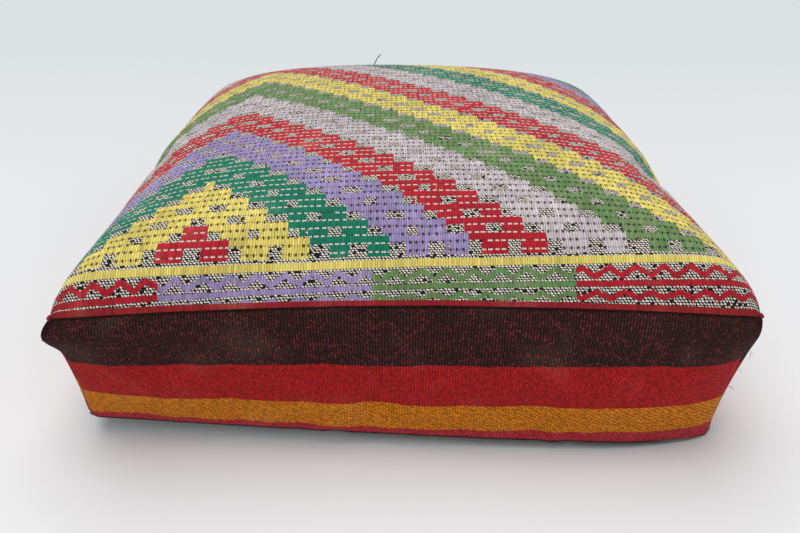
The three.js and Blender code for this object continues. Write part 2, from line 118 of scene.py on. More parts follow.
def soft_light(name, come_from, spread, strength):
    light = bpy.data.lights.new(name, "SUN")
    light.angle = math.radians(spread)
    light.energy = strength
    lamp = placed(name, light)
    lamp.rotation_euler = Vector(come_from).to_track_quat("Z", "Y").to_euler()


soft_light("key light", (-0.15, 0.4, 1.0), 60, 1.95)
soft_light("front light", (0.3, -1.0, 0.75), 70, 0.25)

sky = bpy.data.worlds.new("studio")
sky.use_nodes = True
sky_light = sky.node_tree.nodes["Background"]
sky_light.inputs["Color"].default_value = (0.965, 0.985, 1, 1)
sky_light.inputs["Strength"].default_value = 0.55
bpy.context.scene.world = sky


# ---- The stuffed cover's shape ----
# Two square panels and four long ones, sewn into a box, then stuffed until the top crowns. The stuffing
# draws the middles of the top edges in and leaves the corners standing out. Here the sewn box is one
# net of points, which the cloth simulation puffs out; every panel is cut from that net afterwards.

panel_low, panel_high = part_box("top_panel")
base_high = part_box("bottom_panel")[1]
HALF = 0.300  # half the cloth between two seams
CELLS = 48  # of the net, along a side
SEAM_TOP = panel_low.z
SEAM_BOTTOM = base_high.z
RIM = -5 * MM  # the top seam is squashed this far below the frame's seam
CROWN_GAP = 3 * MM  # left above the net for the simulated swelling
CROWN = panel_high.z - SEAM_TOP - RIM - CROWN_GAP
RIM_TILT = 3.2 * MM  # its front runs up to the right
BACK_DROP = 20 * MM  # the back corners are less full
BACK_NARROWING = [17 * MM, 9 * MM]  # the left and the right back corners are drawn in this far
FRONT_PULL_IN = 17 * MM
SIDE_PULL_IN = 5 * MM
CROWN_FLATNESS_FRONT = 3.8
CROWN_FLATNESS_BACK = 2.9
CROWN_SHOULDER = 0.67

BASE_HALF = base_high.y
BASE_SPREAD = 4 * MM  # the base stands out this much further at the front and the sides than at the zip
BASE_CORNER = 16 * MM
BASE_BULGE = 8 * MM
BASE_SWEEP = 20 * MM  # the front bottom seam sweeps out towards its right end,
BASE_DIP = 12 * MM  # and runs down there,
BASE_RISE = 6 * MM  # while its left end is lifted
BASE_MARGIN = 45 * MM  # the strip of the bottom panel that is off the floor
BASE_ROLL = 19 * MM  # how far that strip bulges out under the seam
WALL_BULGE = [4 * MM, 9 * MM, 4 * MM, 7 * MM]  # front, right, back, left
CORNER_LIFT = 38 * MM  # how much fuller the front corners are than the rest of the edge
CORNER_TUCK = 1.5 * MM  # the top seam turns its corners with a small round
CORNER_PUFF = 9 * MM  # how far a corner of the wall stands out, just under the top seam
CORNER_PUFF_HEIGHT = 0.88  # as a share of the wall's height
ZIP_STRIP = 34 * MM  # the back wall is stiff with the zip up to here, above its seam
ZIP_REACH = 215 * MM

WALL_ROWS = [0, 7.5, 15, 22.5, 33, 44, 55, 66, 77, 88, 98, 108, 118, 127]
WALL_CLOTH = WALL_ROWS[-1] * MM
SIDE_OUT = [Vector((0, -1)), Vector((1, 0)), Vector((0, 1)), Vector((-1, 0))]


def crown_profile(k, flatness):
    return max(0.0, 1 - abs(k) ** flatness) ** CROWN_SHOULDER


def less_of(a, b):
    """Nearly the smaller of two shares, but smooth, so that the corners are full and round."""
    return (a ** -2 + b ** -2 - 1) ** -0.5 if a > 0 and b > 0 else 0.0


# Distances are measured along the crowned cloth, so this turns a share of the cloth into a share of
# the width.
profile_steps = np.linspace(-1, 1, 401)
profile_heights = CROWN * np.array([crown_profile(k, CROWN_FLATNESS_FRONT) for k in profile_steps])
profile_parts = np.hypot(np.diff(profile_steps * HALF), np.diff(profile_heights))
profile_lengths = np.concatenate([[0], np.cumsum(profile_parts)])
profile_lengths = profile_lengths / profile_lengths[-1] * 2 - 1


def across_crown(k):
    return float(np.interp(k, profile_lengths, profile_steps))


def top_point(s, t):
    s, t = across_crown(s), across_crown(t)
    back = max(t, 0)
    front = (1 - t) / 2
    narrowing = back * BACK_NARROWING[s > 0]
    rim = SEAM_TOP + RIM + RIM_TILT * s * front - BACK_DROP * back ** 2 * s * s
    flatness = CROWN_FLATNESS_FRONT + (CROWN_FLATNESS_BACK - CROWN_FLATNESS_FRONT) * (t + 1) / 2
    rise = CROWN * less_of(crown_profile(s, flatness), crown_profile(t, CROWN_FLATNESS_FRONT))
    x = s * (HALF - SIDE_PULL_IN * (1 - t * t) - narrowing)
    y = t * (HALF - FRONT_PULL_IN * (1 - s * s) - narrowing / 2 * s * s)
    plump = CORNER_LIFT * front * abs(s * t) ** 3 * (1 - max(abs(s), abs(t)) ** 8)
    tuck = CORNER_TUCK * abs(s * t) ** 24
    return Vector((x - s * tuck, y - t * tuck, rim + rise + plump))


def rounded_square(s, t, half, radius):
    """The point s, t of a square with its corners rounded off."""
    x, y = s * half, t * half
    core = half - radius
    dx, dy = abs(x) - core, abs(y) - core
    if dx > 0 and dy > 0:
        shrink = max(dx, dy) / math.hypot(dx, dy)
        x = math.copysign(core + dx * shrink, x)
        y = math.copysign(core + dy * shrink, y)
    return Vector((x, y))


def base_seam(s, t):
    flat = rounded_square(s, t, BASE_HALF, BASE_CORNER)
    front = (1 - t) / 2
    right = (1 + s) / 2
    sweep = (1 - (1 - right) ** 2) * (1 - right ** 12)
    flat.x += s * (BASE_SPREAD * front + BASE_BULGE * (1 - t * t))
    flat.y += min(t, 0) * (BASE_SPREAD + BASE_SWEEP * sweep)
    lift = BASE_RISE * (1 - right) ** 2 - BASE_DIP * right ** 2
    return Vector((flat.x, flat.y, SEAM_BOTTOM + lift * front))


def bottom_point(s, t):
    reach = min(1.0, (1 - max(abs(s), abs(t))) * HALF / BASE_MARGIN)
    ring = max(abs(s), abs(t)) or 1
    seam = base_seam(s / ring, t / ring)
    corner = min(abs(s), abs(t)) / ring
    roll = BASE_ROLL * (0.1 + 0.5 * (1 + s)) * (1 - corner ** 8)
    share = ring + roll / HALF * math.sin(math.pi * min(1, 1.4 * reach))
    return Vector((seam.x * share, seam.y * share, seam.z * (1 - math.sin(reach * math.pi / 2))))


def wall_point(side, s, t, share):
    low, high = base_seam(s, t), top_point(s, t)
    lean = share ** 3 * (4 - 3 * share)
    corner = min(abs(s), abs(t))
    swell = WALL_BULGE[side] * math.sin(math.pi * share ** 1.6) * (1 - corner ** 12)
    if side == 2:
        swell *= max(0, min(1, (share - ZIP_STRIP / WALL_CLOTH) * 4))
    nearness = (share - CORNER_PUFF_HEIGHT) / (1 - CORNER_PUFF_HEIGHT)
    puff = CORNER_PUFF * (0.65 - 0.35 * s) * math.exp(-nearness * nearness) * (1 - share ** 20)
    flat = low.xy.lerp(high.xy, lean) + SIDE_OUT[side] * swell
    flat += Vector((s, t)) * puff * corner ** 3
    return Vector((flat.x, flat.y, low.z + (high.z - low.z) * share))


net_points = []
net_index = {}


def net_point(key, place):
    if key not in net_index:
        net_index[key] = len(net_points)
        net_points.append(place)
    return net_index[key]


def ring_place(k):
    """The cell corner k steps round the seams, counter-clockwise from the front left corner."""
    side, step = divmod(k % (4 * CELLS), CELLS)
    return side, [(step, 0), (CELLS, step), (CELLS - step, CELLS), (0, CELLS - step)][side]


def square(i, j):
    return 2 * i / CELLS - 1, 2 * j / CELLS - 1


def on_seam(i, j):
    return i in (0, CELLS) or j in (0, CELLS)


TOP_ROW = len(WALL_ROWS) - 1
top_net = np.zeros((CELLS + 1, CELLS + 1), int)
bottom_net = np.zeros((CELLS + 1, CELLS + 1), int)
wall_net = np.zeros((4 * CELLS + 1, TOP_ROW + 1), int)
for i in range(CELLS + 1):
    for j in range(CELLS + 1):
        s, t = square(i, j)
        seam = on_seam(i, j)
        top_net[i, j] = net_point(("wall", i, j, TOP_ROW) if seam else ("top", i, j), top_point(s, t))
        bottom_net[i, j] = net_point(("wall", i, j, 0) if seam else ("bottom", i, j), bottom_point(s, t))
for k in range(4 * CELLS + 1):
    side, (i, j) = ring_place(k)
    for row, height in enumerate(WALL_ROWS):
        place = wall_point(side, *square(i, j), height / WALL_ROWS[-1])
        wall_net[k, row] = net_point(("wall", i, j, row), place)


def net_faces(net):
    return [
        (net[i, j], net[i + 1, j], net[i + 1, j + 1], net[i, j + 1])
        for i in range(net.shape[0] - 1)
        for j in range(net.shape[1] - 1)
    ]


SIM_FRAMES = 20
SIM_REACH = 12 * MM  # no point may move further than this
SIM_SLACK = -0.008  # below zero, because the cloth is cut this share larger than the net
HELD_SEAMS = {0: 0.85, TOP_ROW: 0.5}  # how firmly the simulation holds the seams' rows,
HELD_WALL = 0.08  # the rest of the walls,
HELD_PANEL = 0.12  # and the top and bottom


def puffed(points):
    """The net's points after the stuffing has pushed the cloth out, by cloth simulation."""
    faces = [[int(n) for n in face] for face in net_faces(top_net) + net_faces(wall_net)]
    faces += [[int(n) for n in reversed(face)] for face in net_faces(bottom_net)]
    mesh = bpy.data.meshes.new("net")
    mesh.from_pydata(points, [], faces)
    net = placed("net", mesh)
    held = net.vertex_groups.new(name="held")
    for key, index in net_index.items():
        place = points[index]
        on_floor = key[0] == "bottom" and max(abs(place.x), abs(place.y)) < HALF - BASE_MARGIN
        at_zip = key[0] == "wall" and place.y > BASE_HALF - BASE_CORNER and abs(place.x) < ZIP_REACH
        if on_floor or (at_zip and WALL_ROWS[key[3]] * MM < ZIP_STRIP):
            held.add([index], 1.0, "REPLACE")
        elif key[0] == "wall":
            held.add([index], HELD_SEAMS.get(key[3], HELD_WALL), "REPLACE")
        else:
            held.add([index], HELD_PANEL, "REPLACE")
    cloth = net.modifiers.new("cloth", "CLOTH")
    cloth.settings.quality = 8
    cloth.settings.mass = 0.02
    cloth.settings.tension_stiffness = 40
    cloth.settings.compression_stiffness = 40
    cloth.settings.shear_stiffness = 20
    cloth.settings.bending_stiffness = 4
    cloth.settings.use_pressure = True
    cloth.settings.uniform_pressure_force = 1.0
    cloth.settings.shrink_min = SIM_SLACK
    cloth.settings.vertex_group_mass = "held"
    cloth.settings.effector_weights.gravity = 0
    cloth.collision_settings.use_collision = False
    cloth.point_cache.frame_end = SIM_FRAMES
    for step in range(1, SIM_FRAMES + 1):
        bpy.context.scene.frame_set(step)
    result = net.evaluated_get(bpy.context.evaluated_depsgraph_get()).to_mesh()
    moved = [vertex.co - place for vertex, place in zip(result.vertices, points)]
    bpy.context.scene.frame_set(1)
    bpy.data.objects.remove(net)
    return [
        place + shift * min(1, SIM_REACH / max(shift.length, 1e-9))
        for place, shift in zip(points, moved)
    ]


net_points = puffed(net_points)
cover = np.array([place[:] for place in net_points])
cover[:, 2] = np.maximum(cover[:, 2], 0.0)


# ---- Top panel ----
# The face of an old flat-woven rug, cut square. Coloured wool is laid over a black and cream ground in
# stepped bands round a small triangle, above a border of zigzags. Its edges are turned in at the seam.

RUG_THICKNESS = 2.2 * MM
SEAM_HALF = 0.8 * MM  # half the groove between two panels
EDGE_SUPPORT = 3 * MM  # from the fold to the first row of the mesh, which keeps the fold small
TURN_IN = 6 * MM


def inward(points):
    """The level direction into the cushion from places near its seams."""
    flat = points[..., :2] / HALF
    lean = np.sign(flat) * np.abs(flat) ** 8
    lean /= np.maximum(np.linalg.norm(lean, axis=-1, keepdims=True), 1e-9)
    return np.concatenate([-lean, np.zeros_like(lean[..., :1])], axis=-1)


def turned_edges(points, cloth, axis, lift_first, lift_last):
    """The panel with its first and last rows along an axis lifted off the seam and folded in."""
    points, cloth = np.moveaxis(points, axis, 0), np.moveaxis(cloth, axis, 0)

    def fold(edge, beside, lift):
        width = np.linalg.norm(points[beside] - points[edge], axis=-1, keepdims=True)
        share = np.minimum(0.5, EDGE_SUPPORT / np.maximum(width, 1e-9))
        support = points[edge] * (1 - share) + points[beside] * share
        support_cloth = cloth[edge] * (1 - share) + cloth[beside] * share
        turned = points[edge] + lift / 2 + inward(points[edge]) * TURN_IN
        beyond = cloth[edge] + (cloth[edge] - support_cloth) * TURN_IN / EDGE_SUPPORT
        return [turned, points[edge] + lift, support], [beyond, cloth[edge], support_cloth]

    first, first_cloth = fold(0, 1, lift_first)
    last, last_cloth = fold(-1, -2, lift_last)
    points = np.stack([*first, *points[1:-1], *reversed(last)])
    cloth = np.stack([*first_cloth, *cloth[1:-1], *reversed(last_cloth)])
    return np.moveaxis(points, 0, axis), np.moveaxis(cloth, 0, axis)


def bake_modifiers(piece):
    """Turns a piece's modifiers into its mesh."""
    finished = piece.evaluated_get(bpy.context.evaluated_depsgraph_get())
    result = bpy.data.meshes.new_from_object(finished)
    piece.modifiers.clear()
    piece.data = result


def new_piece(name, points, faces):
    mesh = bpy.data.meshes.new(name)
    mesh.from_pydata([list(map(float, place)) for place in points], [], faces)
    return placed(name, mesh)


def sheet_of_cloth(name, points, cloth, thickness, faces_up=True, hole=None):
    """A smooth, thick sheet through a grid of points, without the cells that are in the hole.

    It carries two maps: cloth, the place on the flat cloth in metres, for the weave, and a layout
    for baking, in which its hidden side has only a thin strip.
    """
    corners = np.arange(points.shape[0] * points.shape[1]).reshape(points.shape[:2])
    faces = []
    for i in range(points.shape[0] - 1):
        for j in range(points.shape[1] - 1):
            if hole and hole(*cloth[i:i + 2, j:j + 2].mean(axis=(0, 1))):
                continue
            face = [corners[i, j], corners[i + 1, j], corners[i + 1, j + 1], corners[i, j + 1]]
            faces.append([int(n) for n in (face if faces_up else reversed(face))])
    panel = new_piece(name, points.reshape(-1, 3), faces)
    flat = cloth.reshape(-1, 2)
    low, spread = flat.min(axis=0), (flat.max(axis=0) - flat.min(axis=0)).max()
    cloth_map = panel.data.uv_layers.new(name="cloth")
    bake_map = panel.data.uv_layers.new(name="OFBake")
    for loop in panel.data.loops:
        cloth_map.data[loop.index].uv = flat[loop.vertex_index]
        bake_map.data[loop.index].uv = (flat[loop.vertex_index] - low) / spread * 0.94 + 0.01
    smooth = panel.modifiers.new("smooth", "SUBSURF")
    smooth.levels = smooth.render_levels = 2
    bake_modifiers(panel)
    outside = len(panel.data.polygons)
    thick = panel.modifiers.new("thickness", "SOLIDIFY")
    thick.thickness = thickness
    thick.offset = -1
    bake_modifiers(panel)
    layout = panel.data.uv_layers["OFBake"].data
    for polygon in panel.data.polygons[outside:]:
        for index in polygon.loop_indices:
            layout[index].uv.y = 0.97 + 0.02 * layout[index].uv.y
    panel.data.shade_smooth()
    return panel


class Signal:
    """A value that changes over the surface. Sums and comparisons of it become shader nodes."""

    def __init__(self, tree, socket):
        self.tree = tree
        self.socket = socket

    def work(self, operation, *others):
        node = self.tree.nodes.new("ShaderNodeMath")
        node.operation = operation
        for socket, value in zip(node.inputs, (self, *others)):
            plug(value, socket)
        return Signal(self.tree, node.outputs[0])

    def __add__(self, other):
        return self.work("ADD", other)

    def __sub__(self, other):
        return self.work("SUBTRACT", other)

    def __mul__(self, other):
        return self.work("MULTIPLY", other)

    def __truediv__(self, other):
        return self.work("DIVIDE", other)

    def __gt__(self, other):
        return self.work("GREATER_THAN", other)

    def __lt__(self, other):
        return self.work("LESS_THAN", other)

    def floor(self):
        return self.work("FLOOR")

    def fract(self):
        return self.work("FRACT")

    def size(self):
        return self.work("ABSOLUTE")

    def power(self, other):
        return self.work("POWER", other)

    def most(self, other):
        return self.work("MAXIMUM", other)

    def opposite(self):
        """One where it is zero, and zero where it is one."""
        return self * -1 + 1

    def between(self, low, high):
        return (self > low) * (self < high)

    def zigzag(self):
        """From zero up to one and back, once for each whole number."""
        return (self.fract() * 2 - 1).size().opposite()

    def rise(self, low, high):
        """A smooth step from zero at low to one at high."""
        node = self.tree.nodes.new("ShaderNodeMapRange")
        node.interpolation_type = "SMOOTHSTEP"
        plug(self, node.inputs["Value"])
        node.inputs["From Min"].default_value = low
        node.inputs["From Max"].default_value = high
        return Signal(self.tree, node.outputs["Result"])


def plug(value, socket):
    """Links a Signal to a node's socket, or sets the socket to a plain value."""
    if isinstance(value, Signal):
        value.tree.links.new(value.socket, socket)
    else:
        socket.default_value = value


def mixed(amount, under, over):
    """The colour under, with over laid on it by an amount."""
    node = amount.tree.nodes.new("ShaderNodeMix")
    node.data_type = "RGBA"
    plug(amount, node.inputs["Factor"])
    plug(under, node.inputs[6])
    plug(over, node.inputs[7])
    return Signal(amount.tree, node.outputs[2])


def shaded(color, amount):
    """A colour made darker below one and lighter above it."""
    node = amount.tree.nodes.new("ShaderNodeVectorMath")
    node.operation = "SCALE"
    plug(color, node.inputs[0])
    plug(amount, node.inputs["Scale"])
    return Signal(amount.tree, node.outputs[0])


def point_at(x, y, z=0.0):
    node = x.tree.nodes.new("ShaderNodeCombineXYZ")
    for value, socket in zip((x, y, z), node.inputs):
        plug(value, socket)
    return Signal(x.tree, node.outputs[0])


def cloudy(place, scale, detail=2.0):
    node = place.tree.nodes.new("ShaderNodeTexNoise")
    plug(place, node.inputs["Vector"])
    node.inputs["Scale"].default_value = scale
    node.inputs["Detail"].default_value = detail
    return Signal(place.tree, node.outputs["Fac"])


def chance(place):
    """A different number, from zero to one, for each whole place."""
    node = place.tree.nodes.new("ShaderNodeTexWhiteNoise")
    plug(place, node.inputs["Vector"])
    return Signal(place.tree, node.outputs["Value"])


def effect_group(name, inputs, outputs):
    """A shader node group, with a Signal for each of its inputs."""
    group = bpy.data.node_groups.new(name, "ShaderNodeTree")
    for label, start in inputs.items():
        kind = "NodeSocketColor" if isinstance(start, tuple) else "NodeSocketFloat"
        socket = group.interface.new_socket(label, in_out="INPUT", socket_type=kind)
        socket.default_value = start
    for label, kind in outputs.items():
        group.interface.new_socket(label, in_out="OUTPUT", socket_type="NodeSocket" + kind)
    given = group.nodes.new("NodeGroupInput")
    return group, [Signal(group, given.outputs[label]) for label in inputs]


def put_out(group, **results):
    node = group.nodes.new("NodeGroupOutput")
    for label, value in results.items():
        plug(value, node.inputs[label])


def use(tree, group, **values):
    """The group placed in a tree, as a dictionary of what it puts out."""
    node = tree.nodes.new("ShaderNodeGroup")
    node.node_tree = group
    for label, value in values.items():
        plug(value, node.inputs[label])
    return {socket.name: Signal(tree, socket) for socket in node.outputs}


def dye(red, green, blue):
    """A colour as seen, from 0 to 255, as the light that the shader works with."""
    parts = (red, green, blue)
    return tuple(((c / 255 + 0.055) / 1.055) ** 2.4 if c > 10 else c / 3294 for c in parts) + (1,)


# Wool yarn is never one even colour, and it fades in patches. Across and Along are in millimetres.
FADED_WOOL = dye(196, 184, 160)
wool_shade, (across, along, color, yarn, variation) = effect_group(
    "wool shade",
    {"Across": 0.0, "Along": 0.0, "Color": (1, 1, 1, 1), "Yarn": 0.0, "Variation": 0.2},
    {"Color": "Color"},
)
streak = cloudy(point_at(across * 0.5, along * 0.12, yarn), 1, 3)
patch = cloudy(point_at(across, along), 0.018, 2)
hair = cloudy(point_at(across * 2.2, along * 0.9), 1, 2)
brightness = (streak - 0.5) * 1.4 + (patch - 0.5) * 1.2 + (hair - 0.5) * 0.9
faded = mixed(patch.rise(0.5, 0.8) * variation * 0.4, color, FADED_WOOL)
put_out(wool_shade, Color=shaded(faded, brightness * variation * 2 + 1))

# Upright wool stitches side by side, in rows that a thin yarn ties down.
STITCH = 2.1
ROW = 7.85
TIE_SPACING = 5.4
laid_wool, (across, along) = effect_group(
    "laid wool",
    {"Across": 0.0, "Along": 0.0},
    {"Relief": "Float", "Dots": "Float", "Dashes": "Float", "Yarn": "Float"},
)
wander = (cloudy(point_at(across, along), 0.11, 1) - 0.5) * 2.4
column = (across + wander) / STITCH
uneven = chance(point_at(column.floor(), 0)) - 0.5
row = (along + uneven * 0.9) / ROW
round_stitch = (column.fract() * 2 - 1).size().power(2.2).opposite()
row_end = (row.fract() * 2 - 1).size().power(5).opposite()
tie_column = (across + wander) / TIE_SPACING
tie_row = along / ROW + 0.5
tie_luck = chance(point_at(tie_column.floor(), tie_row.floor()))
from_tie_across = (tie_column.fract() - 0.5 + (tie_luck - 0.5) * 0.3).size() * TIE_SPACING
from_tie_along = (tie_row.fract() - 0.5).size() * ROW
kept = tie_luck > 0.08
put_out(
    laid_wool,
    Relief=round_stitch * 0.55 + row_end * 0.45,
    Dots=(from_tie_across / 0.85).most(from_tie_along / 1.5).rise(1.15, 0.85) * kept,
    Dashes=(from_tie_across / 1.7).most(from_tie_along / 0.75).rise(1.15, 0.85) * kept,
    Yarn=chance(point_at(column.floor(), row.floor(), 5)),
)

# The ground between: slanting cream picks over black warps, laid like bricks.
PICK_LENGTH = 2.8
PICK_HEIGHT = 2.05
BLACK_YARN = dye(22, 19, 21)
CREAM_YARN = dye(240, 232, 216)
speckled_ground, (across, along) = effect_group(
    "speckled ground", {"Across": 0.0, "Along": 0.0}, {"Color": "Color", "Relief": "Float"}
)
wander = cloudy(point_at(across, along), 0.35, 2) - 0.5
pick_row = (along + wander * 1.6) / PICK_HEIGHT
pick = (across + wander * 2.4) / PICK_LENGTH + pick_row.floor() * 0.5
side_on = pick.fract() - 0.5
up = pick_row.fract() - 0.5
slant = (up + side_on * 0.5).size() * 2.5
cream = slant.most(side_on.size() * 2.1).rise(0.86, 0.62)
missed = chance(point_at(pick.floor(), pick_row.floor())) > 0.07
cream = cream * missed
ground_color = mixed(cream, BLACK_YARN, CREAM_YARN)
put_out(speckled_ground, Color=ground_color, Relief=cream * 0.6 + up.size().opposite() * 0.3)

# The stepped bands, from the triangle outwards.
RED = dye(184, 30, 44)
YELLOW = dye(230, 210, 108)
TEAL = dye(16, 122, 94)
LILAC = dye(156, 142, 186)
SILVER = dye(200, 190, 192)
OLIVE = dye(114, 142, 88)
FRESH_GREEN = dye(76, 158, 84)
OLIVE_BAND = 6
BAND_COLORS = [
    RED, YELLOW, TEAL, LILAC, RED, SILVER, OLIVE, YELLOW, RED,
    SILVER, TEAL, YELLOW, RED, LILAC, TEAL, YELLOW, RED, SILVER,
]
FIELD_START = 44.7  # from the front seam, in millimetres as the rest is
TRIANGLE_ACROSS = -171
STEP_WIDTH = 17.8
COURSE = 15.7
FIRST_COURSE_EXTRA = 4.1
FIRST_BAND = 1.6  # in steps
BAND_WIDTH = 3.6
DOORWAY = 6.8  # half the gap at the foot of the triangle

stepped_bands, (across, along) = effect_group(
    "stepped bands",
    {"Across": 0.0, "Along": 0.0},
    {"Color": "Color", "Wool": "Float", "Dark Ties": "Float"},
)
stitch_number = (across / STITCH).floor()
ragged = (chance(point_at(stitch_number, (along / ROW).floor())) - 0.5) * 1.6
drift = (cloudy(point_at(across, along), 0.02, 2) - 0.5) * 5
up_field = along - FIELD_START - FIRST_COURSE_EXTRA + ragged
course = (up_field / COURSE).floor().most(0.0)
in_course = up_field / COURSE - course
steps_out = (across + drift - TRIANGLE_ACROSS).size() / STEP_WIDTH + course
band = (steps_out - FIRST_BAND) / BAND_WIDTH + 1
in_band = band.fract()
upper_row = in_course > 0.49
gap_luck = chance(point_at((steps_out * 2).floor(), course, band.floor()))
gap_width = (gap_luck - 0.5) * 0.14
gaps = in_band.between(0.0, gap_width + 0.2).most(in_band.between(0.5, gap_width + 0.7))
inside_triangle = band < 1.0
doorway = ((across - TRIANGLE_ACROSS).size() < DOORWAY) * (up_field < ROW)
band_wool = upper_row.most(gaps.opposite()).most(inside_triangle) * doorway.opposite()
ramp = stepped_bands.nodes.new("ShaderNodeValToRGB")
ramp.color_ramp.interpolation = "CONSTANT"
while len(ramp.color_ramp.elements) < len(BAND_COLORS):
    ramp.color_ramp.elements.new(1.0)
for index, (element, dyed) in enumerate(zip(ramp.color_ramp.elements, BAND_COLORS)):
    element.position = index / len(BAND_COLORS)
    element.color = dyed
plug((band.floor() + 0.5) / len(BAND_COLORS), ramp.inputs[0])
ramp_color = Signal(stepped_bands, ramp.outputs[0])
fresh = cloudy(point_at(across, along * 0.6), 0.07, 3).rise(0.5, 0.62)
in_olive = band.between(OLIVE_BAND, OLIVE_BAND + 1)
band_color = mixed(in_olive * fresh * 0.25, ramp_color, FRESH_GREEN)
# The red and the teal wool are tied down with cream yarn, and every other colour with black.
split = stepped_bands.nodes.new("ShaderNodeSeparateColor")
plug(ramp_color, split.inputs[0])
not_teal = Signal(stepped_bands, split.outputs[0]) > 0.1
is_red = Signal(stepped_bands, split.outputs[1]) < 0.05
dark_ties = not_teal * is_red.opposite()
put_out(stepped_bands, **{"Color": band_color, "Wool": band_wool, "Dark Ties": dark_ties})

# The border: a straight line with a zigzag on each side, between a red edge and a yellow line.
RED_EDGE = 6.0
BORDER_END = 34.8
YELLOW_LINE_END = 41.6
ZIGZAG_PERIOD = 21.4
BORDER_CHANGES = [-195, -28, 134]

zigzag_border, (across, along) = effect_group(
    "zigzag border", {"Across": 0.0, "Along": 0.0}, {"Color": "Color", "Wool": "Float"}
)
height = (along - RED_EDGE) / (BORDER_END - RED_EDGE)
unsteady = cloudy(point_at(across, along), 0.06, 1) - 0.5
stepped_across = ((across / STITCH).floor() + 0.5) * STITCH
wave = (stepped_across / ZIGZAG_PERIOD + unsteady * 0.3).zigzag()
ragged = (chance(point_at(stepped_across, 0)) - 0.5) * 0.05
straight = (height - ragged).between(0.35, 0.51)
upper = (height - wave * 0.26 - 0.62 - ragged).size() < 0.095
lower = (height + wave * 0.17 - 0.2 - ragged).size() < 0.08
wool = straight.most(upper).most(lower)
fresh = cloudy(point_at(across, along), 0.08, 3).rise(0.46, 0.6)
greens = mixed(fresh * 0.3, OLIVE, FRESH_GREEN)
color = RED
for change, next_color in zip(BORDER_CHANGES, (LILAC, greens, RED)):
    color = mixed(across > change, color, next_color)
put_out(zigzag_border, Color=color, Wool=wool)


def start_material(name, roughness, sheen=0.0):
    """A cloth material with its node tree and its shader."""
    material = bpy.data.materials.new(name)
    material.use_nodes = True
    tree = material.node_tree
    shader = tree.nodes["Principled BSDF"]
    shader.inputs["Roughness"].default_value = roughness
    shader.inputs["Sheen Weight"].default_value = sheen
    shader.inputs["Sheen Roughness"].default_value = 0.6
    shader.inputs["Specular IOR Level"].default_value = 0.15
    return material, tree, shader


def on_cloth(tree):
    """Across and along the cloth, in millimetres."""
    place = tree.nodes.new("ShaderNodeUVMap")
    place.uv_map = "cloth"
    parts = tree.nodes.new("ShaderNodeSeparateXYZ")
    tree.links.new(place.outputs[0], parts.inputs[0])
    return Signal(tree, parts.outputs[0]) * 1000, Signal(tree, parts.outputs[1]) * 1000


def raised(shader, relief, height):
    """Feeds a relief from zero to one, so many metres high, to the shader's normal."""
    bump = relief.tree.nodes.new("ShaderNodeBump")
    bump.inputs["Distance"].default_value = height
    bump.inputs["Strength"].default_value = 1
    plug(relief, bump.inputs["Height"])
    relief.tree.links.new(bump.outputs[0], shader.inputs["Normal"])


SKEW = 0.027  # the square isn't cut quite along the weave
SKEW_FROM = 57
EDGE_RED = dye(158, 34, 38)

rug, tree, shader = start_material("brocaded rug", 0.9, 0.06)
across, along = on_cloth(tree)
from_seam = along + HALF * 1000
along = from_seam - (across - SKEW_FROM) * SKEW
bands = use(tree, stepped_bands, Across=across, Along=along)
border = use(tree, zigzag_border, Across=across, Along=along)
ground = use(tree, speckled_ground, Across=across, Along=along)
in_field = along > FIELD_START
up_rows = (along - FIELD_START - FIRST_COURSE_EXTRA) * in_field + in_field.opposite() * ROW / 2
stitches = use(tree, laid_wool, Across=across, Along=up_rows)
in_edge = from_seam < RED_EDGE
in_border = (along < BORDER_END) * in_edge.opposite()
in_line = along.between(BORDER_END, YELLOW_LINE_END)
wool = (in_field * bands["Wool"]).most(in_border * border["Wool"]).most(in_line).most(in_edge)
wool_color = mixed(in_border, bands["Color"], border["Color"])
wool_color = mixed(in_line, wool_color, YELLOW)
wool_color = mixed(in_edge, wool_color, EDGE_RED)
wool_color = use(
    tree, wool_shade, Across=across, Along=along, Color=wool_color, Yarn=stitches["Yarn"] * 9, Variation=0.3
)["Color"]
# Painted shade: the wool is coloured darker between the round stitches and at the ends of their rows, where
# the relief dips; each stitch's yarn also differs a little in its own tone.
painted_stitch_shade = stitches["Relief"].rise(0.15, 0.8) * 0.7 + 0.32
wool_color = shaded(wool_color, painted_stitch_shade + (stitches["Yarn"] - 0.5) * 0.3)
dots = stitches["Dots"] * bands["Dark Ties"]
dashes = stitches["Dashes"] * bands["Dark Ties"].opposite()
wool_color = mixed(dots * in_field * 0.9, wool_color, BLACK_YARN)
wool_color = mixed(dashes * in_field * 0.85, wool_color, CREAM_YARN)
surface = mixed(wool, ground["Color"], wool_color)
plug(surface, shader.inputs["Base Color"])
wool_relief = wool * (stitches["Relief"] * 0.6 + 0.4)
raised(shader, wool_relief + wool.opposite() * ground["Relief"] * 0.3, 1.8 * MM)

steps = np.linspace(-HALF, HALF, CELLS + 1)
flat_square = np.stack(np.meshgrid(steps, steps, indexing="ij"), axis=-1)
lift = np.array([0, 0, SEAM_HALF])
points, cloth = turned_edges(cover[top_net], flat_square, 0, lift, lift)
points, cloth = turned_edges(points, cloth, 1, lift, lift)
top_panel = sheet_of_cloth("kilim_top", points, cloth, RUG_THICKNESS)
top_panel.data.materials.append(rug)
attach(top_panel, "cushion")
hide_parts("top_panel")


# ---- Side panels ----
# Four strips of a striped, weft-faced rug: dark brown at the top, then red, a mustard twill and a thin
# red edge. The back one is slit along its foot for the zip and topstitched to the zip's tapes.

